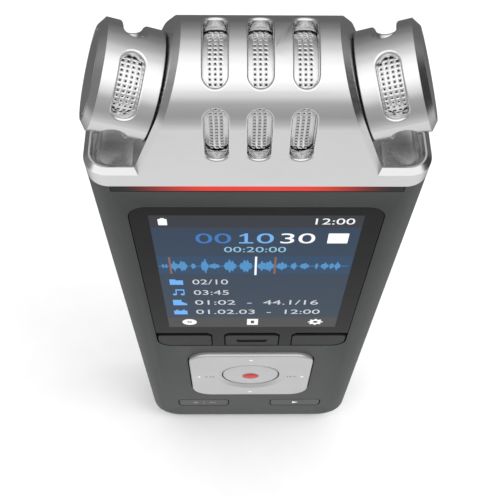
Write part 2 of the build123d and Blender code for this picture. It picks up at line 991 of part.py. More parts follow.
def pad_dish():
    """Cone that widens from the button's hole to the pad's face."""
    hole = button_radius + button_gap
    near = face_plane(-pad_proud) * (Pos(0, pad_height) * Circle(dish_radius))
    far = face_plane(dish_depth - pad_proud) * (Pos(0, pad_height) * Circle(hole))
    return loft([near, far])


def pad_stud_places():
    reach = pad_stud_reach
    return [(reach, pad_height), (-reach, pad_height), (0, pad_height + reach), (0, pad_height - reach)]


def nav_ring():
    """Ring that tips on its side pins and carries the pad on its upper and lower pins."""
    far = ring_depth + ring_thickness
    ring = disc(ring_outer_radius, 0, pad_height, ring_depth, far)
    ring -= disc(ring_inner_radius, 0, pad_height, ring_depth - spare, far + spare)
    root = ring_outer_radius - overlap
    for side in sides:
        low, high = ordered(side, root, ring_outer_radius + pivot_length)
        ring += bar_x(pivot_radius, low, high, pivot_depth, pad_height)
        ring += bar_z(pivot_radius, 0, pivot_depth, pad_height + low, pad_height + high)
    return ring


def button_rim():
    """Depth of the record button's rim."""
    return button_sink - pad_proud


def button_top():
    """Depth of the middle of the record button's domed face."""
    return button_rim() - button_rise


def domed_disc(radius, rise, top, far):
    """Round bar on the pad's axis, whose front is a shallow dome."""
    size = (radius ** 2 + rise ** 2) / (2 * rise)
    ball = Pos(0, front_y + top + size, pad_height) * Sphere(size)
    return ball & disc(radius, 0, pad_height, top - spare, far)


def record_button():
    far = button_flange_depth + button_flange_thickness
    button = domed_disc(button_radius, button_rise, button_top(), button_flange_depth)
    button = soft_front(button, key_edge)
    button += disc(button_radius + button_flange, 0, pad_height, button_flange_depth, far)
    button += disc(stud_radius, 0, pad_height, far - overlap, stud_end)
    return button - disc(dot_radius, 0, pad_height, -beyond, button_top() + dot_thickness)


def record_dot():
    """Domed red insert in the middle of the record button."""
    far = button_top() + dot_thickness
    return domed_disc(dot_radius - fit_gap, dot_proud, button_top() - dot_proud, far)


def lower_key(side):
    flange_near = front_wall + key_flange_gap
    far = flange_near + key_flange_thickness
    key = soft_front(pull(lower_key_outline(side, 0), 0, flange_near + overlap), key_edge)
    key += pull(lower_key_outline(side, key_flange), flange_near, far)
    middle = side * (lower_key_inner + lower_key_width / 2)
    z = lower_key_bottom + lower_key_height / 2
    return key + disc(stud_radius, middle, z, far - overlap, stud_end)


# ---- boards ----

def main_board():
    board = pull(outline(side_wall + board_inset, board_top), board_depth, board_back)
    for x, z in case_screw_places():
        board -= disc(case_screw_radius + screw_clearance, x, z, 0, body_depth)
    for x, z in board_screw_places():
        board -= disc(small_screw_radius + screw_clearance, x, z, 0, body_depth)
    return board


def dome_sheet():
    """Sheet with a snap dome under each key."""
    half = dome_sheet_width / 2
    near = board_depth - dome_sheet_thickness
    sheet = slab(-half, half, near, board_depth, dome_sheet_bottom, dome_sheet_top)
    for x, z in board_screw_places():
        sheet -= disc(board_post_radius + screw_clearance, x, z, 0, body_depth)
    for x, z in dome_places():
        sheet += disc(dome_radius, x, z, dome_front, near + overlap)
    for side in sides:
        inner = pivot_eye_start - seam_gap
        x0, x1 = ordered(side, inner, pivot_eye_start + pivot_eye_width + seam_gap)
        half = pivot_eye_radius + seam_gap
        sheet -= slab(x0, x1, 0, body_depth, pad_height - half, pad_height + half)
    return sheet


def dome_places():
    soft = (soft_key_top + window_bottom) / 2
    lower = lower_key_bottom + lower_key_height / 2
    places = [(number * soft_key_pitch, soft) for number in (-1, 0, 1)]
    places += [(side * (lower_key_inner + lower_key_width / 2), lower) for side in sides]
    return places + pad_stud_places() + [(0, pad_height)]


def shield_can():
    half = shield_width / 2
    low = shield_bottom
    return slab(-half, half, board_back, board_back + shield_thickness, low, low + shield_height)


def battery():
    half = battery_width / 2
    far = back_depth - battery_foam
    low = battery_bottom
    cell = slab(-half, half, far - battery_thickness, far, low, low + battery_height)
    return fillet(cell.edges().filter_by(Axis.Z), battery_thickness / 5)


def battery_pad():
    half = battery_width / 2 - battery_pad_inset
    low = battery_bottom + battery_pad_inset
    high = battery_bottom + battery_height - battery_pad_inset
    return slab(-half, half, back_depth - battery_foam, back_depth, low, high)


def speaker():
    far = back_depth - speaker_foam
    near = far - speaker_thickness
    magnet = disc(speaker_magnet_radius, 0, speaker_height, near, near + speaker_thickness / 2)
    return magnet + disc(speaker_radius, 0, speaker_height, near + speaker_thickness / 2, far)


def speaker_gasket():
    ring = disc(speaker_radius, 0, speaker_height, back_depth - speaker_foam, back_depth)
    return ring - disc(speaker_radius - speaker_foam_width, 0, speaker_height, 0, beyond)


# ---- sockets, door and switch ----

def jack(side):
    """Headphone or microphone socket: a collar in the side wall and a body on the board."""
    x0, x1 = ordered(side, half_width - jack_length, jack_inner())
    body = slab(x0, x1, board_back, board_back + jack_thickness,
                jack_height - jack_width / 2, jack_height + jack_width / 2)
    x0, x1 = ordered(side, jack_inner() - overlap, half_width)
    body += bar_x(jack_collar, x0, x1, jack_depth, jack_height)
    x0, x1 = ordered(side, half_width - jack_length + jack_back_wall, half_width + spare)
    return body - bar_x(jack_bore, x0, x1, jack_depth, jack_height)


def usb_socket():
    at = Pos(0, front_y + usb_depth, usb_sink)
    shell = extrude(usb_shape(0), amount=usb_length)
    shell -= extrude(usb_shape(-usb_wall), amount=usb_length - usb_wall)
    width = usb_width - 4 * usb_wall - usb_thickness / 2
    tongue = Pos(0, 0, usb_length / 2 + usb_wall) * Box(width, usb_tongue, usb_length - 2 * usb_wall)
    return at * (shell + tongue)


def card_socket():
    mouth = -inner_half_width + board_inset
    body = slab(mouth, mouth + card_length, board_back, board_back + card_thickness,
                card_height - card_width / 2, card_height + card_width / 2)
    half = card_slot_width / 2
    near = card_depth - card_slot_height / 2
    return body - slab(mouth - spare, mouth + card_length - card_back_wall, near, near + card_slot_height,
                       card_height - half, card_height + half)


def card_door():
    """Flap over the card socket, rolled round its hinge pin at the front edge."""
    low = card_height - door_height / 2
    high = card_height + door_height / 2
    far = card_depth + door_depth / 2
    door = slab(-half_width, door_thickness - half_width, hinge_depth, far, low, high)
    door += bar_z(door_edge, hinge_x, hinge_depth, low, high)
    door -= bar_z(hinge_pin_radius + hinge_clearance, hinge_x, hinge_depth, low - spare, high + spare)
    reach = door_grip_length / 2
    grip = bar_z(knob_groove, -half_width, far - door_edge, card_height - reach, card_height + reach)
    return door - grip


def card_door_pin():
    hold = door_height / 2 + door_gap + hinge_pin_hold
    return bar_z(hinge_pin_radius, hinge_x, hinge_depth, card_height - hold, card_height + hold)


def hold_knob():
    """Ribbed slider in the right side, with its stem and inner flange."""
    near = half_width - recess_depth + knob_gap
    far = near + knob_thickness
    half = knob_depth / 2
    reach = knob_height / 2
    knob = slab(near, far, switch_depth - half, switch_depth + half,
                switch_height - reach, switch_height + reach)
    knob = fillet(knob.edges().filter_by(Axis.X), knob_depth / 5)
    for place in (-2, -1, 0, 1, 2):
        z = switch_height + place * knob_height / 7
        groove = slab(far - knob_groove, far + spare, -beyond, beyond, z - knob_groove, z + knob_groove)
        knob -= groove
    inner = inner_half_width - key_gap
    half = knob_stem_depth / 2
    reach = knob_stem_height / 2
    knob += slab(inner - overlap, near + overlap, switch_depth - half, switch_depth + half,
                 switch_height - reach, switch_height + reach)
    return knob + slab(inner - key_flange, inner, switch_depth - 2 * half, switch_depth + 2 * half,
                       switch_height - reach - half, switch_height + reach + half)


def hold_switch():
    far = inner_half_width - key_gap - key_flange - key_gap
    half = knob_height / 2 + switch_travel
    return slab(far - switch_width, far, board_back, board_back + switch_width,
                switch_height - half, switch_height + half)


def tripod_insert():
    """Brass insert with a camera thread, set in the rear cover."""
    far = tripod_near + tripod_insert_length
    insert = disc(tripod_insert_radius, 0, tripod_height, tripod_near, far)
    return insert - disc(tripod_thread_radius, 0, tripod_height, tripod_near - spare, far + spare)


# ---- screws ----

def screw(shank, head, head_thickness, seat, length, x, z):
    """Screw driven from the back: head behind its seat, shank towards the front."""
    body = disc(shank, x, z, seat - length, seat + overlap)
    body += disc(head, x, z, seat, seat + head_thickness)
    top = seat + head_thickness
    for width, height in ((drive_width, head), (head, drive_width)):
        half_x = width / 2
        half_z = height / 2
        body -= slab(x - half_x, x + half_x, top - drive_depth, top + spare, z - half_z, z + half_z)
    return body


def case_screws():
    length = case_seat_depth - front_wall - 2 * post_floor
    group = Part()
    for x, z in case_screw_places():
        group += screw(case_screw_radius - fit_gap, case_head_radius, case_head_thickness,
                       case_seat_depth, length, x, z)
    return group


def board_screws():
    group = Part()
    for x, z in board_screw_places():
        group += screw(small_screw_radius - fit_gap, small_head_radius, small_head_thickness,
                       board_back, small_screw_length, x, z)
    return group


def head_screws():
    group = Part()
    length = head_screw_seat() - tongue_near - 2 * post_floor
    for side in sides:
        group += screw(small_screw_radius - fit_gap, small_head_radius, small_head_thickness,
                       head_screw_seat(), length, side * head_screw_x, head_screw_z)
    return group


def mic_board_screws():
    """Screws driven up through the head board."""
    group = Part()
    low = head_base + head_board_lift
    for side in sides:
        x = side * mic_screw_x
        group += bar_z(small_screw_radius - fit_gap, x, middle_depth, low - overlap, low + small_screw_length)
        group += bar_z(small_head_radius, x, middle_depth, low - small_head_thickness, low)
    return group


def pieces():
    """Every node's name and its solid."""
    table = {
        "front_shell": front_shell(),
        "rear_cover": rear_cover(),
        "light_guide": light_guide(),
        "light_board": light_board(),
        "mic_head": mic_head(),
        "head_mesh": head_liner(),
        "head_board": head_board(),
        "barrel_washers": barrel_washers(),
        "barrel_nuts": barrel_nuts(),
        "centre_mic_boot": centre_boot(),
        "centre_mic_capsule": centre_capsule(),
        "display_window": display_window(),
        "display_gasket": display_gasket(),
        "lcd_module": lcd_module(),
        "lcd_frame": lcd_frame(),
        "nav_pad": nav_pad(),
        "nav_pivot_ring": nav_ring(),
        "record_button": record_button(),
        "record_dot": record_dot(),
        "stop_key": lower_key(-1),
        "play_key": lower_key(1),
        "main_board": main_board(),
        "dome_sheet": dome_sheet(),
        "ring_saddles": ring_saddles(),
        "shield_can": shield_can(),
        "battery": battery(),
        "battery_pad": battery_pad(),
        "speaker": speaker(),
        "speaker_gasket": speaker_gasket(),
        "headphone_jack": jack(-1),
        "microphone_jack": jack(1),
        "usb_socket": usb_socket(),
        "card_socket": card_socket(),
        "card_door": card_door(),
        "card_door_pin": card_door_pin(),
        "hold_knob": hold_knob(),
        "hold_switch": hold_switch(),
        "tripod_insert": tripod_insert(),
        "case_screws": case_screws(),
        "board_screws": board_screws(),
        "head_screws": head_screws(),
        "mic_board_screws": mic_board_screws(),
    }
    for name, number in (("left", -1), ("middle", 0), ("right", 1)):
        table[name + "_soft_key"] = soft_key(number)
    for name, side in (("left", -1), ("right", 1)):
        table[name + "_barrel"] = barrel(side)
        table[name + "_barrel_cap"] = barrel_cap(side)
        table[name + "_barrel_mesh"] = barrel_mesh(side)
        table[name + "_mic_boot"] = barrel_boot(side)
        table[name + "_mic_capsule"] = barrel_capsule(side)
    return table


os.makedirs("parts", exist_ok=True)
for node, solid in pieces().items():
    export_step(solid, "parts/" + node + ".step")
    print(node, round(solid.volume, 2))
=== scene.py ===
import json
import math

import bmesh
import bpy
from mathutils import Matrix, Vector


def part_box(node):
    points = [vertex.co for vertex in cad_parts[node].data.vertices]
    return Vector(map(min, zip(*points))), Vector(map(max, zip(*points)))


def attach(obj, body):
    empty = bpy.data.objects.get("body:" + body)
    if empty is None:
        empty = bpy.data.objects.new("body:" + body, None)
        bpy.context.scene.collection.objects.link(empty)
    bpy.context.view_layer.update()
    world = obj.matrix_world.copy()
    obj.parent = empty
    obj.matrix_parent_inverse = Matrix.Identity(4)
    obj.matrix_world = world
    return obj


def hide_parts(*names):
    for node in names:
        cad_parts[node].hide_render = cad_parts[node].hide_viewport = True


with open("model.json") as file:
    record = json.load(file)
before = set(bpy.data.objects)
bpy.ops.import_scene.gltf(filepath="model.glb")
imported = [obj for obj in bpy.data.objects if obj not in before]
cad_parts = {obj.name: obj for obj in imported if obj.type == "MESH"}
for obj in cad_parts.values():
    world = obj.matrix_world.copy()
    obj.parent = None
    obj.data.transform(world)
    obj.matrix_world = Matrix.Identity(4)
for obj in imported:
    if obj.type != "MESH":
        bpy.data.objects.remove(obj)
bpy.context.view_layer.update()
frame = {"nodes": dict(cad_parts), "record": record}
mm = 0.001
nodes = frame["nodes"]
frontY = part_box("front_shell")[0].y  # the flat front of the body
slotOf = {row["node"]: row["material_slot"] for row in frame["record"]["subparts"]}
print("frame loaded")


def at(x, depth, z):
    # millimetres to a point; depth counts back from the body's flat front
    return Vector((x * mm, frontY + depth * mm, z * mm))


def grey(value):
    return (value, value, value, 1.0)


def place(name, build, body, material, sharpAngle=35):
    mesh = bpy.data.meshes.new(name)
    bmesh.ops.recalc_face_normals(build, faces=build.faces)
    build.to_mesh(mesh)
    build.free()
    piece = bpy.data.objects.new(name, mesh)
    bpy.context.scene.collection.objects.link(piece)
    piece.data.materials.append(material)
    mesh.polygons.foreach_set("use_smooth", [True] * len(mesh.polygons))
    mesh.set_sharp_from_angle(angle=math.radians(sharpAngle))
    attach(piece, body)
    return piece


leastCorner = 0.02  # radius of a corner that counts as sharp


def cornerRing(width, height, radii, inset, steps=7):
    # outline of a rounded rectangle, moved in by inset; radii are top right, top left, low left, low right
    points = []
    halfW = width / 2 - inset
    halfH = height / 2 - inset
    for number, radius in enumerate(radii):
        size = max(radius - inset, leastCorner)
        signX = 1 if number in (0, 3) else -1
        signZ = 1 if number in (0, 1) else -1
        for step in range(steps):
            turn = math.radians(90 * (number + step / (steps - 1)))
            points.append((signX * (halfW - size) + size * math.cos(turn),
                           signZ * (halfH - size) + size * math.sin(turn)))
    return points


def turned(points, angle, x, z):
    # outline turned about the origin, then moved to x and z
    cos, sin = math.cos(angle), math.sin(angle)
    return [(x + across * cos - up * sin, z + across * sin + up * cos) for across, up in points]


def stitch(build, rings, closeEnds=True):
    # skin between rings of the same count, with a cap at each end
    loops = [[build.verts.new(point) for point in ring] for ring in rings]
    count = len(loops[0])
    for first, second in zip(loops, loops[1:]):
        for number in range(count):
            after = (number + 1) % count
            build.faces.new((first[number], first[after], second[after], second[number]))
    if closeEnds:
        build.faces.new(loops[0])
        build.faces.new(loops[-1])
    return loops


def softPlate(build, centre, size, radii, near, far, edge, steps=4):
    # flat plate with a rounded rim on its front
    rings = []
    for step in range(steps + 1):
        turn = math.radians(90 * step / steps)
        inset = edge * (1 - math.sin(turn))
        depth = near + edge * (1 - math.cos(turn))
        ring = cornerRing(size[0], size[1], radii, inset)
        rings.append([at(centre[0] + x, depth, centre[1] + z) for x, z in ring])
    rings.append([at(centre[0] + x, far, centre[1] + z) for x, z in cornerRing(size[0], size[1], radii, 0)])
    stitch(build, rings)


def prism(build, points, near, far):
    stitch(build, [[at(x, near, z) for x, z in points], [at(x, far, z) for x, z in points]])


def rectangle(build, x0, x1, z0, z1, near, far):
    prism(build, [(x0, z0), (x1, z0), (x1, z1), (x0, z1)], near, far)


def circle(x, z, radius, sides):
    return [(x + radius * math.cos(math.tau * k / sides), z + radius * math.sin(math.tau * k / sides))
            for k in range(sides)]


def roundDisc(build, x, z, radius, near, far, sides=24):
    prism(build, circle(x, z, radius, sides), near, far)


def flatRing(build, x, z, outer, inner, near, far, sides=24):
    rings = []
    for radius, depth in ((inner, far), (inner, near), (outer, near), (outer, far)):
        rings.append([at(across, depth, up) for across, up in circle(x, z, radius, sides)])
    loops = stitch(build, rings, closeEnds=False)
    for number in range(sides):
        after = (number + 1) % sides
        build.faces.new((loops[3][number], loops[3][after], loops[0][after], loops[0][number]))


numeralLook = {"thickness": 0.05, "curveSteps": 6}


def digits(build, text, x0, x1, z0, z1, near, far):
    # numerals of a plain typeface, fitted between x0 and x1 and between z0 and z1
    curve = bpy.data.curves.new("numerals", "FONT")
    curve.body = text
    curve.extrude = numeralLook["thickness"]
    curve.resolution_u = numeralLook["curveSteps"]
    holder = bpy.data.objects.new("numerals", curve)
    bpy.context.scene.collection.objects.link(holder)
    graph = bpy.context.evaluated_depsgraph_get()
    mesh = bpy.data.meshes.new_from_object(holder.evaluated_get(graph))
    low = [min(v.co[k] for v in mesh.vertices) for k in range(3)]
    high = [max(v.co[k] for v in mesh.vertices) for k in range(3)]
    for vertex in mesh.vertices:
        share = [(vertex.co[k] - low[k]) / (high[k] - low[k]) for k in range(3)]
        vertex.co = at(x0 + share[0] * (x1 - x0), far + share[2] * (near - far), z0 + share[1] * (z1 - z0))
    build.from_mesh(mesh)
    bpy.data.objects.remove(holder)
    bpy.data.curves.remove(curve)
    bpy.data.meshes.remove(mesh)


def link(tree, source, output, target, entry):
    tree.links.new(source.outputs[output], target.inputs[entry])


def noiseNode(tree, scale, detail, stretch):
    spot = tree.nodes.new("ShaderNodeTexCoord")
    spread = tree.nodes.new("ShaderNodeMapping")
    spread.inputs["Scale"].default_value = stretch
    noise = tree.nodes.new("ShaderNodeTexNoise")
    noise.inputs["Scale"].default_value = scale
    noise.inputs["Detail"].default_value = detail
    link(tree, spot, "Object", spread, "Vector")
    link(tree, spread, "Vector", noise, "Vector")
    return noise


noiseSpan = (0.3, 0.7)  # most of the noise lies between these
noiseDetail = {"drift": 4, "grain": 3}


def blendNode(tree, source, first, second):
    # blends two colours over the noise's span
    ramp = tree.nodes.new("ShaderNodeValToRGB")
    ramp.color_ramp.elements[0].position = noiseSpan[0]
    ramp.color_ramp.elements[0].color = first
    ramp.color_ramp.elements[1].position = noiseSpan[1]
    ramp.color_ramp.elements[1].color = second
    link(tree, source, "Fac", ramp, "Fac")
    return ramp


def rangeNode(tree, source, output, low, high):
    # turns the noise's span into low to high
    spread = tree.nodes.new("ShaderNodeMapRange")
    spread.inputs["From Min"].default_value = noiseSpan[0]
    spread.inputs["From Max"].default_value = noiseSpan[1]
    spread.inputs["To Min"].default_value = low
    spread.inputs["To Max"].default_value = high
    link(tree, source, output, spread, "Value")
    return spread


def stepNode(tree, source, output, low, high):
    # rises from 0 to 1 between low and high
    step = tree.nodes.new("ShaderNodeMapRange")
    step.inputs["From Min"].default_value = low
    step.inputs["From Max"].default_value = high
    tree.links.new(source.outputs[output], step.inputs["Value"])
    return step


mixSockets = {"first": 6, "second": 7, "colour": 2}  # the mix node's colour sockets


def mixColour(tree, share, first, second):
    # goes from the colour of a socket to a fixed colour as share rises
    mixer = tree.nodes.new("ShaderNodeMix")
    mixer.data_type = "RGBA"
    tree.links.new(share.outputs["Result"], mixer.inputs["Factor"])
    tree.links.new(first, mixer.inputs[mixSockets["first"]])
    mixer.inputs[mixSockets["second"]].default_value = second
    return mixer.outputs[mixSockets["colour"]]


wear = {"start": 0.515, "full": 0.6}  # how pointed an edge is where its wear starts and where it is full


def finish(name, look):
    # one finish: colour that drifts, roughness that varies and a fine relief
    material = bpy.data.materials.new(name)
    material.use_nodes = True
    tree = material.node_tree
    shader = tree.nodes["Principled BSDF"]
    drift = noiseNode(tree, look.get("driftScale", 120), noiseDetail["drift"], (1, 1, 1))
    colour = blendNode(tree, drift, look["colour"], look["second"])
    if "edgeWear" in look:
        geometry = tree.nodes.new("ShaderNodeNewGeometry")
        worn = tree.nodes.new("ShaderNodeMapRange")
        worn.inputs["From Min"].default_value = wear["start"]
        worn.inputs["From Max"].default_value = wear["full"]
        worn.inputs["To Max"].default_value = look["edgeWear"]
        link(tree, geometry, "Pointiness", worn, "Value")
        mixed = mixColour(tree, worn, colour.outputs["Color"], look["wornColour"])
        tree.links.new(mixed, shader.inputs["Base Color"])
    else:
        link(tree, colour, "Color", shader, "Base Color")
    fine = noiseNode(tree, look["grainScale"], noiseDetail["grain"], look.get("stretch", (1, 1, 1)))
    rough = rangeNode(tree, fine, "Fac", *look["rough"])
    link(tree, rough, "Result", shader, "Roughness")
    bump = tree.nodes.new("ShaderNodeBump")
    bump.inputs["Strength"].default_value = look.get("bumpStrength", 0.4)
    bump.inputs["Distance"].default_value = look["relief"] * mm
    link(tree, fine, "Fac", bump, "Height")
    link(tree, bump, "Normal", shader, "Normal")
    shader.inputs["Metallic"].default_value = look.get("metal", 0)
    shader.inputs["IOR"].default_value = look.get("ior", 1.45)
    shader.inputs["Specular IOR Level"].default_value = look.get("specular", 0.5)
    shader.inputs["Coat Weight"].default_value = look.get("coat", 0)
    shader.inputs["Coat Roughness"].default_value = look.get("coatRough", 0.05)
    shader.inputs["Sheen Weight"].default_value = look.get("sheen", 0)
    return material


looks = {
    "body_plastic": {"colour": (0.02, 0.023, 0.023, 1), "second": (0.025, 0.028, 0.028, 1),
                     "rough": (0.4, 0.5), "grainScale": 5200, "relief": 0.012, "ior": 1.36,
                     "edgeWear": 0.25, "wornColour": grey(0.09)},
    "silver_housing": {"colour": grey(0.72), "second": grey(0.76), "rough": (0.2, 0.25), "grainScale": 2600,
                       "stretch": (0.15, 1, 1), "relief": 0.001, "metal": 1, "driftScale": 60},
    "silver_barrel": {"colour": grey(0.72), "second": grey(0.76), "rough": (0.18, 0.24), "grainScale": 2600,
                      "relief": 0.001, "metal": 1, "driftScale": 60},
    "wire_mesh": {"colour": grey(0.7), "second": grey(0.76), "rough": (0.2, 0.28), "grainScale": 3000,
                  "relief": 0.001, "metal": 1},
    "pad_plastic": {"colour": grey(0.52), "second": grey(0.56), "rough": (0.3, 0.36), "grainScale": 6000,
                    "relief": 0.002, "metal": 0.6, "coat": 0.2},
    "key_plastic": {"colour": grey(0.022), "second": grey(0.027), "rough": (0.33, 0.42), "grainScale": 5200,
                    "relief": 0.008},
    "soft_key_plastic": {"colour": grey(0.007), "second": grey(0.009), "rough": (0.34, 0.42),
                         "grainScale": 5200, "relief": 0.006, "ior": 1.28},
    "red_plastic": {"colour": (0.45, 0.012, 0.014, 1), "second": (0.52, 0.02, 0.022, 1),
                    "rough": (0.16, 0.22), "grainScale": 900, "relief": 0.004, "ior": 1.3},
    "display_panel": {"colour": grey(0.012), "second": (0.014, 0.015, 0.017, 1), "rough": (0.28, 0.34),
                      "grainScale": 2400, "relief": 0.0006, "specular": 0.0},
    "black_plastic": {"colour": grey(0.018), "second": grey(0.026), "rough": (0.45, 0.6), "grainScale": 4200,
                      "relief": 0.01},
    "black_rubber": {"colour": grey(0.014), "second": grey(0.022), "rough": (0.7, 0.85), "grainScale": 3600,
                     "relief": 0.02, "sheen": 0.2},
    "black_foam": {"colour": grey(0.02), "second": grey(0.035), "rough": (0.85, 1.0), "grainScale": 2600,
                   "relief": 0.08, "sheen": 0.3},
    "circuit_board": {"colour": (0.012, 0.09, 0.045, 1), "second": (0.018, 0.13, 0.06, 1),
                      "rough": (0.3, 0.5), "grainScale": 700, "relief": 0.03, "driftScale": 400},
    "plain_steel": {"colour": grey(0.56), "second": grey(0.64), "rough": (0.24, 0.36), "grainScale": 2600,
                    "stretch": (1, 1, 0.1), "relief": 0.002, "metal": 1},
    "dome_steel": {"colour": grey(0.5), "second": grey(0.6), "rough": (0.3, 0.4), "grainScale": 1800,
                   "relief": 0.002, "metal": 1},
    "black_steel": {"colour": grey(0.05), "second": grey(0.08), "rough": (0.32, 0.45), "grainScale": 2600,
                    "relief": 0.004, "metal": 0.9},
    "capsule_can": {"colour": grey(0.6), "second": grey(0.68), "rough": (0.22, 0.32), "grainScale": 2200,
                    "relief": 0.002, "metal": 1},
    "battery_wrap": {"colour": grey(0.2), "second": grey(0.27), "rough": (0.3, 0.45), "grainScale": 500,
                     "relief": 0.03, "metal": 0.6},
    "insert_brass": {"colour": (0.62, 0.46, 0.2, 1), "second": (0.7, 0.54, 0.27, 1),
                     "rough": (0.22, 0.34), "grainScale": 2600, "stretch": (1, 0.15, 1),
                     "relief": 0.003, "metal": 1},
    "display_glass": {"colour": grey(0.005), "second": grey(0.007), "rough": (0.1, 0.14), "grainScale": 500,
                      "relief": 0.0001, "ior": 1.16},
}

lightLook = {"colour": grey(0.035), "second": grey(0.045), "rough": (0.3, 0.4), "grainScale": 2400,
             "relief": 0.0005, "specular": 0.0, "glow": (0.82, 0.03, 0.012, 1), "fadeStart": 0.26,
             "fadeEnd": 0.95, "strength": 1.0, "paintedShadowLine": (0.12, 0.2), "litDepth": (0.15, 0.05)}


def lightFinish(name, look):
    # smoked window, lit from behind in its middle; its lowest strip is left unlit as a painted shadow line
    # for the gap under the window
    material = finish(name, look)
    tree = material.node_tree
    shader = tree.nodes["Principled BSDF"]
    low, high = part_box("light_guide")
    spot = tree.nodes.new("ShaderNodeTexCoord")
    split = tree.nodes.new("ShaderNodeSeparateXYZ")
    size = tree.nodes.new("ShaderNodeMath")
    size.operation = "ABSOLUTE"
    glow = tree.nodes.new("ShaderNodeValToRGB")
    glow.color_ramp.interpolation = "EASE"
    glow.color_ramp.elements[0].color = look["glow"]
    glow.color_ramp.elements[0].position = look["fadeStart"]
    glow.color_ramp.elements[1].color = (0, 0, 0, 1)
    glow.color_ramp.elements[1].position = look["fadeEnd"]
    link(tree, spot, "Object", split, "Vector")
    link(tree, split, "X", size, "Value")
    share = stepNode(tree, size, "Value", 0, high.x)
    link(tree, share, "Result", glow, "Fac")
    link(tree, glow, "Color", shader, "Emission Color")
    # painted shadow: the glow starts only above the lowest strip of the window
    above = stepNode(tree, split, "Z", *(low.z + edge * mm for edge in look["paintedShadowLine"]))
    front = stepNode(tree, split, "Y", *(low.y + edge * mm for edge in look["litDepth"]))
    both = tree.nodes.new("ShaderNodeMath")
    both.operation = "MULTIPLY"
    tree.links.new(above.outputs["Result"], both.inputs[0])
    tree.links.new(front.outputs["Result"], both.inputs[1])
    strength = tree.nodes.new("ShaderNodeMath")
    strength.operation = "MULTIPLY"
    strength.inputs[1].default_value = look["strength"]
    tree.links.new(both.outputs[0], strength.inputs[0])
    tree.links.new(strength.outputs[0], shader.inputs["Emission Strength"])
    return material


finishes = {slot: finish(slot, look) for slot, look in looks.items()}
finishes["light_window"] = lightFinish("light_window", lightLook)

litLook = {"grainScale": 5200, "detail": 2, "strength": 1.0, "base": grey(0.005)}


def screenFinish(name, colour, second):
    # lit picture elements with a faint cell pattern
    material = bpy.data.materials.new(name)
    material.use_nodes = True
    tree = material.node_tree
    shader = tree.nodes["Principled BSDF"]
    noise = noiseNode(tree, litLook["grainScale"], litLook["detail"], (1, 1, 1))
    ramp = blendNode(tree, noise, colour, second)
    link(tree, ramp, "Color", shader, "Emission Color")
    shader.inputs["Emission Strength"].default_value = litLook["strength"]
    rough = rangeNode(tree, noise, "Fac", *looks["display_glass"]["rough"])
    link(tree, rough, "Result", shader, "Roughness")
    shader.inputs["Base Color"].default_value = litLook["base"]
    shader.inputs["IOR"].default_value = looks["display_glass"]["ior"]
    return material


for name, piece in nodes.items():
    piece.data.materials.clear()
    slot = "soft_key_plastic" if name.endswith("soft_key") else slotOf[name]
    piece.data.materials.append(finishes[slot])
print("finishes made")

edgeGap = 0.05  # a cell border keeps this far from the sheet's ends


def sheetEdges(low, high, pitch, centre):
    # cell borders between low and high, lined up so that a cell sits at centre
    first = math.ceil((low - centre) / pitch - 0.5)
    last = math.floor((high - centre) / pitch + 0.5)
    inner = [centre + (k - 0.5) * pitch for k in range(first, last + 1)]
    inner = [value for value in inner if low + edgeGap < value < high - edgeGap]
    return [low] + inner + [high]


def perforate(build, acrossEdges, alongEdges, isHole, holeRadius, surface):
    # sheet of cells, some of them with a round hole; surface turns two distances into a point
    corners = {}

    def corner(i, j):
        if (i, j) not in corners:
            corners[i, j] = build.verts.new(surface(acrossEdges[i], alongEdges[j]))
        return corners[i, j]

    for i in range(len(acrossEdges) - 1):
        for j in range(len(alongEdges) - 1):
            square = [corner(i, j), corner(i + 1, j), corner(i + 1, j + 1), corner(i, j + 1)]
            if not isHole(i, j):
                build.faces.new(square)
                continue
            midU = (acrossEdges[i] + acrossEdges[i + 1]) / 2
            midV = (alongEdges[j] + alongEdges[j + 1]) / 2
            rim = []  # eight points, two for each side of the cell
            for k in range(8):
                turn = math.radians(202.5 + 45 * k)
                rim.append(build.verts.new(surface(midU + holeRadius * math.cos(turn),
                                                   midV + holeRadius * math.sin(turn))))
            for k in range(4):
                first = rim[2 * k]
                second = rim[2 * k + 1]
                third = rim[(2 * k + 2) % 8]
                build.faces.new((square[k], second, first))
                build.faces.new((square[k], square[(k + 1) % 4], third, second))


def thicken(piece, thickness):
    # gives a sheet its thickness, inwards
    solid = piece.modifiers.new("thickness", "SOLIDIFY")
    solid.thickness = thickness * mm
    solid.offset = -1
    graph = bpy.context.evaluated_depsgraph_get()
    mesh = bpy.data.meshes.new_from_object(piece.evaluated_get(graph))
    piece.modifiers.clear()
    old = piece.data
    piece.data = mesh
    mesh.name = piece.name
    bpy.data.meshes.remove(old)


headMeshLook = {"holePitch": 0.66, "rowPitch": 0.62, "rowStart": 0.2, "holeRadius": 0.115, "columns": 3,
                "slots": 3, "slotPitch": 5.28, "inset": 0.17, "thickness": 0.16}


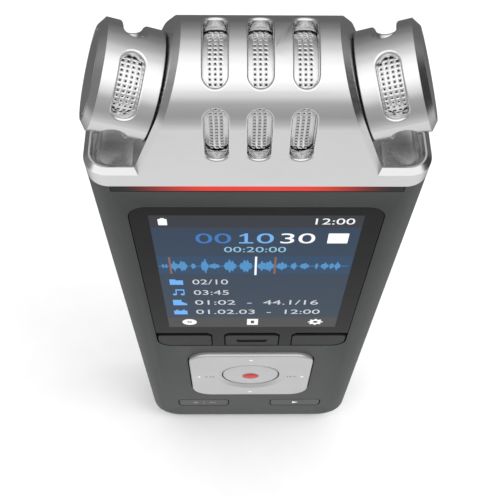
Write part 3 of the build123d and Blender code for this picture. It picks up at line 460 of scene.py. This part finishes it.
def headMesh():
    look = headMeshLook
    low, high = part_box("head_mesh")
    halfDepth = (high.y - low.y) / 2 / mm - look["inset"]
    middleY = (low.y + high.y) / 2
    axisZ = high.z / mm - halfDepth - look["inset"]
    drop = axisZ - low.z / mm
    arc = math.pi * halfDepth
    across = sheetEdges(low.x / mm, high.x / mm, look["holePitch"], 0)
    along = sheetEdges(-drop, arc + drop, look["rowPitch"], look["rowStart"])

    def surface(x, distance):
        if distance < 0:
            y, z = -halfDepth, axisZ + distance
        elif distance > arc:
            y, z = halfDepth, axisZ - (distance - arc)
        else:
            turn = distance / halfDepth
            y, z = -halfDepth * math.cos(turn), axisZ + halfDepth * math.sin(turn)
        return Vector((x * mm, middleY + y * mm, z * mm))

    def isHole(i, j):
        x = (across[i] + across[i + 1]) / 2
        nearest = round(x / look["slotPitch"]) * look["slotPitch"]
        inColumns = abs(x - nearest) < look["columns"] / 2 * look["holePitch"]
        inSlots = abs(nearest) < look["slots"] / 2 * look["slotPitch"]
        return inColumns and inSlots and 0 < j < len(along) - 2

    build = bmesh.new()
    perforate(build, across, along, isHole, look["holeRadius"], surface)
    piece = place("headMesh", build, "root", finishes["wire_mesh"])
    thicken(piece, look["thickness"])
    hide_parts("head_mesh")


headMesh()

barrelLook = {"tilt": 20, "capMiddle": 7.3, "holePitch": 0.67, "rowCount": 54, "holeRadius": 0.115,
              "meshLow": 1.26, "meshHigh": 6.74, "meshRadius": 5.3, "slotMiddle": 3.7, "columns": 4,
              "thickness": 0.16}


def barrelFrame(side):
    # the barrel's own place: its z points outwards along the barrel
    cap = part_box(side + "_barrel_cap")
    middle = (cap[0] + cap[1]) / 2
    sign = -1 if side == "left" else 1
    tilt = math.radians(barrelLook["tilt"])
    axis = Vector((sign * math.cos(tilt), 0, math.sin(tilt)))
    front = Vector((0, -1, 0))
    turn = Matrix((front, axis.cross(front), axis)).transposed().to_4x4()
    origin = middle - axis * (barrelLook["capMiddle"] * mm)
    return Matrix.Translation(origin) @ turn


def barrelMesh(side):
    look = barrelLook
    frameMatrix = barrelFrame(side)
    pitchAngle = math.tau / look["rowCount"]
    across = sheetEdges(look["meshLow"], look["meshHigh"], look["holePitch"],
                        look["slotMiddle"] + look["holePitch"] / 2)
    along = [pitchAngle * k * look["meshRadius"] for k in range(look["rowCount"] + 1)]

    def surface(s, distance):
        turn = distance / look["meshRadius"]
        radius = look["meshRadius"]
        return frameMatrix @ (Vector((radius * math.cos(turn), radius * math.sin(turn), s)) * mm)

    def isHole(i, j):
        s = (across[i] + across[i + 1]) / 2
        return abs(s - look["slotMiddle"]) < look["columns"] / 2 * look["holePitch"]

    build = bmesh.new()
    perforate(build, across, along, isHole, look["holeRadius"], surface)
    bmesh.ops.remove_doubles(build, verts=build.verts, dist=0.001 * mm)
    name = side + "BarrelMesh"
    piece = place(name, build, "root", finishes["wire_mesh"])
    thicken(piece, look["thickness"])
    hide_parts(side + "_barrel_mesh")


for side in ("left", "right"):
    barrelMesh(side)
print("perforated sheets made")

screenLook = {
    "panelNear": 0.046, "panelFar": 0.06, "markNear": 0.036, "markFar": 0.05,
    "left": -15.35, "right": 15.35, "top": 99.38, "low": 58.6, "statusLow": 95.92, "barHigh": 63.1,
    "bandHigh": 86.95, "bandLow": 80.72, "bandProud": 0.001,
}
paneLook = {"corner": 2.75, "headHeight": 20, "gap": 0.15, "chamfer": 0.9, "aboveKeys": 1.2}
# look of the near-black strips that paint the shade in the gaps above the keys
paintedGapShadeLook = {"overlap": 0.12, "edge": 0.02, "near": 0.16, "far": 0.6, "colour": grey(0.002),
                "second": grey(0.004), "rough": (0.8, 0.95), "grainScale": 3000, "relief": 0.01,
                "specular": 0.02}


def paneOutline(low, high, keyEdges, ledge):
    # one outline that steps round the three keys; ledge is its lower edge above each key
    left, right, bottom, top = low.x / mm, high.x / mm, low.z / mm, high.z / mm
    corner, chamfer, height = paneLook["corner"], paneLook["chamfer"], paneLook["headHeight"]
    rounded = cornerRing(right - left, height, (corner, corner, leastCorner, leastCorner), 0)
    points = [(x, top - height / 2 + z) for x, z in rounded[:len(rounded) // 2]]
    points.append((left, ledge))
    for before, after in zip(keyEdges, keyEdges[1:]):
        # the finger between two keys
        fingerLeft = before[1] + paneLook["gap"]
        fingerRight = after[0] - paneLook["gap"]
        points += [(fingerLeft - chamfer, ledge), (fingerLeft, ledge - chamfer), (fingerLeft, bottom),
                   (fingerRight, bottom), (fingerRight, ledge - chamfer), (fingerRight + chamfer, ledge)]
    points.append((right, ledge))
    return points


def windowParts():
    low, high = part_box("display_window")
    keyBoxes = [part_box(name + "_soft_key") for name in ("left", "middle", "right")]
    keyEdges = [(box[0].x / mm, box[1].x / mm) for box in keyBoxes]
    keyTop = keyBoxes[1][1].z / mm
    ledge = keyTop + paneLook["aboveKeys"]
    build = bmesh.new()
    prism(build, paneOutline(low, high, keyEdges, ledge), low.y / mm - frontY / mm, high.y / mm - frontY / mm)
    pane = place("displayPane", build, "root", finishes["display_glass"])
    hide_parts("display_window")
    # painted shade: a near-black matte strip fills the gap above each key and stands for the shadow under the
    # pane's ledge
    look = paintedGapShadeLook
    build = bmesh.new()
    for keyLeft, keyRight in keyEdges:
        x0 = max(keyLeft - look["overlap"], low.x / mm)
        x1 = min(keyRight + look["overlap"], high.x / mm)
        rectangle(build, x0, x1, keyTop + look["edge"], ledge - look["edge"], look["near"], look["far"])
    place("paintedKeyGapShade", build, "root", finish("painted_gap_shade", look))


windowParts()

screenColours = {
    "ground": (0.022, 0.045, 0.082), "groundLow": (0.026, 0.045, 0.076), "status": (0.028, 0.031, 0.042),
    "bar": (0.052, 0.052, 0.05), "band": (0.018, 0.055, 0.118), "white": (0.92, 0.95, 0.97),
    "text": (0.6, 0.63, 0.66), "blue": (0.14, 0.42, 0.9), "digitDark": (0.035, 0.17, 0.47),
    "digitLight": (0.16, 0.42, 0.8), "digitSoft": (0.27, 0.52, 0.72), "wave": (0.07, 0.28, 0.58),
    "mark": (0.24, 0.11, 0.075),
}


def screenMaterial(key):
    colour = screenColours[key]
    second = tuple(min(1.0, part * 1.1) for part in colour)  # a tenth brighter
    return screenFinish("screen_" + key, (*colour, 1), (*second, 1))


def onScreen(name, key, fill):
    build = bmesh.new()
    fill(build)
    place(name, build, "root", screenMaterial(key))


def screenGround():
    look = screenLook
    near, far = look["panelNear"], look["panelFar"]
    middle = look["bandLow"]
    onScreen("screenGroundHigh", "ground", lambda b: rectangle(
        b, look["left"], look["right"], middle, look["statusLow"], near, far))
    onScreen("screenGroundLow", "groundLow", lambda b: rectangle(
        b, look["left"], look["right"], look["barHigh"], middle, near, far))
    onScreen("screenStatus", "status", lambda b: rectangle(
        b, look["left"], look["right"], look["statusLow"], look["top"], near, far))
    onScreen("screenBar", "bar", lambda b: rectangle(
        b, look["left"], look["right"], look["low"], look["barHigh"], near, far))
    onScreen("screenBand", "band", lambda b: rectangle(
        b, look["left"], look["right"], look["bandLow"], look["bandHigh"], near - look["bandProud"], near))


screenGround()

bursts = [  # place, half width and half height of each burst of sound
    (-14.5, 0.12, 0.8), (-14.0, 0.12, 0.7), (-12.7, 0.5, 1.7), (-11.4, 0.65, 2.0), (-9.7, 0.25, 1.1),
    (-7.9, 0.55, 2.6), (-6.4, 0.8, 0.9), (-3.9, 0.85, 2.3), (-1.4, 0.9, 2.4), (1.2, 0.7, 1.7),
    (2.3, 0.6, 2.0), (4.3, 0.8, 1.4), (6.2, 0.35, 1.3), (7.9, 0.7, 1.1), (9.8, 0.15, 1.4),
    (11.1, 0.55, 1.2), (12.2, 0.2, 1.2), (13.1, 0.45, 1.4)]
waveLook = {"left": -15.2, "right": 14.8, "line": 0.06, "drop": 0.25, "step": 0.13, "halfBar": 0.058,
            "least": 0.15, "ends": 0.6, "taper": 0.6, "wobble": 0.2, "wobblePace": 37}


def waveform(build):
    near, far = screenLook["markNear"], screenLook["markFar"]
    look = waveLook
    middle = (screenLook["bandLow"] + screenLook["bandHigh"]) / 2 - look["drop"]
    rectangle(build, look["left"], look["right"], middle - look["line"], middle + look["line"], near, far)
    step = look["step"]
    for centre, half, height in bursts:
        count = max(1, round(half / step))
        for k in range(-count, count + 1):
            x = centre + k * step
            share = max(0.0, 1 - abs(k) / (count + look["ends"]))
            wobble = 1 - look["wobble"] + look["wobble"] * math.sin(look["wobblePace"] * x)
            tall = look["least"] + height * share ** look["taper"] * wobble
            left, right = x - look["halfBar"], x + look["halfBar"]
            rectangle(build, left, right, middle - tall, middle + tall, near, far)


onScreen("screenWave", "wave", waveform)

figureLook = {"stroke": 0.5, "foot": 0.375, "flagInset": 0.1, "flagLow": 1.0, "flagStem": 0.45,
              "flagTip": 0.6}


def figureOne(build, x0, x1, z0, z1, near, far):
    # a one with a flag and a foot
    look = figureLook
    flagLeft = x0 + look["flagInset"]
    halfStroke = look["stroke"] / 2
    middle = (x0 + x1) / 2
    rectangle(build, middle - halfStroke, middle + halfStroke, z0, z1, near, far)
    rectangle(build, x0, x1, z0, z0 + look["foot"], near, far)
    prism(build, [(flagLeft, z1 - look["flagLow"]), (middle, z1 - look["flagStem"]), (middle, z1),
                  (flagLeft, z1 - look["flagTip"])], near, far)


# places on the display: left and right edge, then lower and upper; a row has only the last two
timeLook = {"row": (91.13, 94.19), "hours": (-8.95, -3.66), "one": (-2.5, -0.35), "zero": (0.15, 2.69),
            "seconds": (3.7, 8.85), "lengthRow": (88.3, 90.0), "length": (-4.77, 4.68)}
listRows = [
    ("02/10", -10.15, -4.3, 76.9, 78.72),
    ("03:45", -10.12, -4.2, 72.8, 74.6),
    ("01:02  -  44.1/16", -10.1, 11.3, 68.7, 70.55),
    ("01.02.03  -  12:00", -10.08, 11.9, 64.65, 66.5)]
whiteLook = {"clock": (8.5, 14.15, 96.85, 98.55),
             "plates": [((12.25, 92.66), (3.07, 3.06), 0.15), ((-13.46, 97.5), (1.3, 1.75), 0.12)],
             "cellTip": (-13.75, -13.15, 98.4, 98.62), "line": (0.0, 0.34, 80.4, 86.8), "rim": 0.005,
             "lineProud": 0.002}
markerLook = {"places": (-13.36, 3.22), "half": 0.16, "low": 80.85, "high": 86.65, "proud": 0.002}


def whiteMarks(build, near, far):
    look = whiteLook
    digits(build, "12:00", *look["clock"], near, far)
    digits(build, "30", *timeLook["seconds"], *timeLook["row"], near, far)
    for centre, size, corner in look["plates"]:
        softPlate(build, centre, size, (corner,) * 4, near, far, look["rim"], 1)
    rectangle(build, *look["cellTip"], near, far)
    rectangle(build, *look["line"], near - look["lineProud"], far)


def minuteMarks(build, near, far):
    figureOne(build, *timeLook["one"], *timeLook["row"], near, far)
    digits(build, "0", *timeLook["zero"], *timeLook["row"], near, far)


def hourMarks(build, near, far):
    digits(build, "00", *timeLook["hours"], *timeLook["row"], near, far)


def lengthMarks(build, near, far):
    digits(build, "00:20:00", *timeLook["length"], *timeLook["lengthRow"], near, far)


def rowMarks(build, near, far):
    for row in listRows:
        digits(build, *row, near, far)


def markerLines(build, near, far):
    look = markerLook
    front = near - look["proud"]
    for x in look["places"]:
        rectangle(build, x - look["half"], x + look["half"], look["low"], look["high"], front, far)


keyIconLook = {"row": 60.95, "side": 11.5, "disc": (1.32, 0.42, 0.2), "gear": (1.05, 0.45), "teeth": 8,
               "tooth": [(0.95, -0.24), (1.36, -0.17), (1.36, 0.17), (0.95, 0.24)],
               "page": [(-1.0, 1.0, 61.6, 62.33), (-1.0, -0.3, 59.6, 61.6), (0.3, 1.0, 59.6, 61.6),
                        (-0.3, 0.3, 59.6, 60.3)]}


def keyIcons(build, near, far):
    # a disc, a page and a gear, one above each key
    look = keyIconLook
    row, side = look["row"], look["side"]
    outer, inner, hub = look["disc"]
    flatRing(build, -side, row, outer, inner, near, far)
    roundDisc(build, -side, row, hub, near, far)
    for block in look["page"]:
        rectangle(build, *block, near, far)
    flatRing(build, side, row, *look["gear"], near, far)
    for k in range(look["teeth"]):
        prism(build, turned(look["tooth"], math.tau * k / look["teeth"], side, row), near, far)


blueIconLook = {
    "folder": [(-13.9, -11.7, 76.75, 78.4), (-13.9, -12.9, 78.4, 78.75)],
    "noteHeads": (-13.35, -12.05), "noteLow": 72.95, "noteRadius": 0.36, "stemStart": 0.18, "stemTop": 74.9,
    "noteBeam": (-13.17, -11.69, 74.5, 74.93), "file": (-13.9, -12.4, 68.5, 70.7),
    "fileFold": [(-12.4, 68.5), (-11.5, 68.5), (-11.5, 69.1), (-12.4, 69.9)],
    "calendar": [(-14.0, -11.65, 64.5, 66.1), (-13.6, -13.2, 66.1, 66.5), (-12.45, -12.05, 66.1, 66.5)]}


def blueIcons(build, near, far):
    # one beside each row of the list
    look = blueIconLook
    for block in look["folder"]:
        rectangle(build, *block, near, far)
    low, radius = look["noteLow"], look["noteRadius"]
    for x in look["noteHeads"]:
        roundDisc(build, x, low, radius, near, far, 16)
        rectangle(build, x + look["stemStart"], x + radius, low, look["stemTop"], near, far)
    rectangle(build, *look["noteBeam"], near, far)
    rectangle(build, *look["file"], near, far)
    prism(build, look["fileFold"], near, far)
    for block in look["calendar"]:
        rectangle(build, *block, near, far)


def screenMarks():
    near, far = screenLook["markNear"], screenLook["markFar"]
    groups = [("screenWhite", "white", whiteMarks), ("screenRows", "text", rowMarks),
              ("screenKeyIcons", "white", keyIcons), ("screenBlueIcons", "blue", blueIcons),
              ("screenHours", "digitDark", hourMarks),
              ("screenMinutes", "digitLight", minuteMarks),
              ("screenLength", "digitSoft", lengthMarks),
              ("screenMarkers", "mark", markerLines)]
    for name, colour, fill in groups:
        onScreen(name, colour, lambda build: fill(build, near, far))


screenMarks()
print("display made")

inkLook = {"rough": (0.35, 0.5), "grainScale": 4000, "relief": 0.002}
padLook = {"reachAcross": 11.05, "reachUp": 10.04, "proud": 0.012, "sunk": 0.05, "markSize": 0.42,
           "tip": 1.1, "tail": 0.8, "spread": 1.2, "skipStart": 9.5, "skipPitch": 0.9, "skipHalf": 0.3,
           "skipRise": 0.4, "barPlace": 7.9, "barHalf": 0.12}


def inkFinish(name, colour):
    second = tuple(0.92 * part for part in colour[:3]) + (1,)  # a little darker
    return finish(name, {"colour": colour, "second": second, **inkLook})


whiteInk = inkFinish("white_ink", grey(0.95))
greyInk = inkFinish("grey_ink", grey(0.22))


def padMarks():
    look = padLook
    low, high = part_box("nav_pad")
    near = (low.y - frontY) / mm - look["proud"]
    far = near + look["proud"] + look["sunk"]
    centre = (low.z + high.z) / 2 / mm
    size = look["markSize"]
    build = bmesh.new()
    for k in range(4):
        reach = look["reachUp"] if k % 2 else look["reachAcross"]
        tail = reach - size * look["tail"]
        spread = size * look["spread"]
        shape = [(reach + size * look["tip"], 0), (tail, spread), (tail, -spread)]
        prism(build, turned(shape, math.tau * k / 4, 0, centre), near, far)
    place("padArrows", build, "pad", whiteInk)
    build = bmesh.new()
    half, rise = look["skipHalf"], look["skipRise"]
    for side in (-1, 1):
        for k in range(2):
            x = side * (look["skipStart"] - look["skipPitch"] * k)
            prism(build, [(x - half * side, centre - rise), (x + half * side, centre),
                          (x - half * side, centre + rise)], near, far)
        x = side * look["barPlace"]
        rectangle(build, x - look["barHalf"], x + look["barHalf"], centre - rise, centre + rise, near, far)
    place("padSkips", build, "pad", greyInk)


padMarks()

keyLook = {
    "near": -0.012, "far": 0.05, "stopSquare": (-2.4, -1.3, -0.55, 0.55),
    "stroke": [(-0.25, -0.7), (-0.05, -0.7), (0.35, 0.7), (0.15, 0.7)],
    "arrow": [(1.2, 0), (1.9, 0.55), (1.9, 0.2), (2.9, 0.2), (2.9, -0.2), (1.9, -0.2), (1.9, -0.55)],
    "play": [(-0.6, -0.7), (0.75, 0), (-0.6, 0.7)]}


def keyMarks():
    look = keyLook
    near, far = look["near"], look["far"]
    for body, node in (("stop", "stop_key"), ("play", "play_key")):
        low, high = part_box(node)
        x = (low.x + high.x) / 2 / mm
        z = (low.z + high.z) / 2 / mm
        build = bmesh.new()
        if body == "stop":
            x0, x1, z0, z1 = look["stopSquare"]
            rectangle(build, x + x0, x + x1, z + z0, z + z1, near, far)
        for outline in ("stroke", "arrow") if body == "stop" else ("play",):
            prism(build, [(x + across, z + up) for across, up in look[outline]], near, far)
        ink = whiteInk if body == "play" else greyInk
        place(node.replace("_key", "Mark"), build, body, ink)


keyMarks()
print("printed marks made")

floorLook = {"size": 3.0, "colour": grey(0.93), "second": grey(0.95), "rough": (0.85, 0.95),
             "grainScale": 900, "relief": 0.02}


def floor():
    build = bmesh.new()
    half = floorLook["size"] / 2
    corners = ((-half, -half), (half, -half), (half, half), (-half, half))
    build.faces.new([build.verts.new((x, y, 0)) for x, y in corners])
    mesh = bpy.data.meshes.new("floor")
    build.to_mesh(mesh)
    build.free()
    piece = bpy.data.objects.new("floor", mesh)
    bpy.context.scene.collection.objects.link(piece)
    piece.data.materials.append(finish("paper", floorLook))
    piece.visible_glossy = False


floor()

# share of a turn about the X axis, from the back floor under the front and over the top; brightness
skyStops = [
    (0.0, 0.14), (0.12, 0.13), (0.28, 0.86), (0.345, 0.92), (0.4, 0.56), (0.44, 0.42), (0.509, 0.48),
    (0.569, 1.0), (0.604, 1.25), (0.65, 1.5), (0.685, 1.45), (0.743, 1.25), (0.806, 0.82), (0.878, 0.42),
    (0.94, 0.22), (1.0, 0.14)]
skySides = {"start": 0.84, "end": 0.94, "left": 0.22, "right": 0.04}
skyLook = {"strength": 2, "plainStrength": 0.94}  # the stops are halved to stay below one, and doubled here


def studioSky():
    world = bpy.data.worlds.new("studio")
    bpy.context.scene.world = world
    world.use_nodes = True
    tree = world.node_tree
    tree.nodes.clear()
    spot = tree.nodes.new("ShaderNodeTexCoord")
    split = tree.nodes.new("ShaderNodeSeparateXYZ")
    link(tree, spot, "Generated", split, "Vector")
    flip = tree.nodes.new("ShaderNodeMath")
    flip.operation = "MULTIPLY"
    flip.inputs[1].default_value = -1
    link(tree, split, "Y", flip, "Value")
    turn = tree.nodes.new("ShaderNodeMath")
    turn.operation = "ARCTAN2"
    tree.links.new(split.outputs["Z"], turn.inputs[0])
    tree.links.new(flip.outputs[0], turn.inputs[1])
    share = tree.nodes.new("ShaderNodeMapRange")
    share.inputs["From Min"].default_value = -math.pi
    share.inputs["From Max"].default_value = math.pi
    link(tree, turn, "Value", share, "Value")
    ramp = tree.nodes.new("ShaderNodeValToRGB")
    ramp.color_ramp.interpolation = "EASE"
    stops = ramp.color_ramp.elements
    while len(stops) < len(skyStops):
        stops.new(0.5)
    for stop, (position, value) in zip(stops, skyStops):
        stop.position = position
        stop.color = grey(value / skyLook["strength"])
    link(tree, share, "Result", ramp, "Fac")
    glossy = tree.nodes.new("ShaderNodeBackground")
    glossy.inputs["Strength"].default_value = skyLook["strength"]
    colour = ramp.outputs["Color"]
    for side, sign in (("left", -1), ("right", 1)):
        reach = stepNode(tree, split, "X", sign * skySides["start"], sign * skySides["end"])
        colour = mixColour(tree, reach, colour, grey(skySides[side] / skyLook["strength"]))
    tree.links.new(colour, glossy.inputs["Color"])
    plain = tree.nodes.new("ShaderNodeBackground")
    plain.inputs["Color"].default_value = grey(1.0)
    plain.inputs["Strength"].default_value = skyLook["plainStrength"]
    path = tree.nodes.new("ShaderNodeLightPath")
    mixer = tree.nodes.new("ShaderNodeMixShader")
    link(tree, path, "Is Glossy Ray", mixer, "Fac")
    tree.links.new(plain.outputs[0], mixer.inputs[1])
    tree.links.new(glossy.outputs[0], mixer.inputs[2])
    out = tree.nodes.new("ShaderNodeOutputWorld")
    tree.links.new(mixer.outputs[0], out.inputs["Surface"])


studioSky()


lamps = {"keyLight": {"spot": (0.45, -0.1, 0.75), "target": (0, 0, 0.03), "size": 0.5, "power": 2.6},
         "fillLight": {"spot": (-0.6, -0.4, 0.6), "target": (0, 0, 0.05), "size": 0.7, "power": 0.8}}


def softLight(name, spot, target, size, power):
    data = bpy.data.lights.new(name, "AREA")
    data.shape = "DISK"
    data.size = size
    data.energy = power
    lamp = bpy.data.objects.new(name, data)
    bpy.context.scene.collection.objects.link(lamp)
    lamp.location = spot
    lamp.rotation_euler = (Vector(target) - Vector(spot)).to_track_quat("-Z", "Y").to_euler()
    lamp.visible_glossy = False


for name, lamp in lamps.items():
    softLight(name, **lamp)

cameraLook = {"spot": (-0.0026, -0.06505, 0.1978), "down": 62.0, "turn": 0.83, "lens": 58.18,
              "sensor": 36, "nearest": 0.005}


def camera():
    data = bpy.data.cameras.new("camera")
    data.lens = cameraLook["lens"]
    data.sensor_width = cameraLook["sensor"]
    data.clip_start = cameraLook["nearest"]
    eye = bpy.data.objects.new("camera", data)
    bpy.context.scene.collection.objects.link(eye)
    tilt = Matrix.Rotation(math.radians(90 - cameraLook["down"]), 4, "X")
    turn = Matrix.Rotation(math.radians(-cameraLook["turn"]), 4, "Y")
    eye.matrix_world = Matrix.Translation(cameraLook["spot"]) @ tilt @ turn
    bpy.context.scene.camera = eye


camera()
bpy.context.scene.view_settings.view_transform = "Standard"
print("studio made")
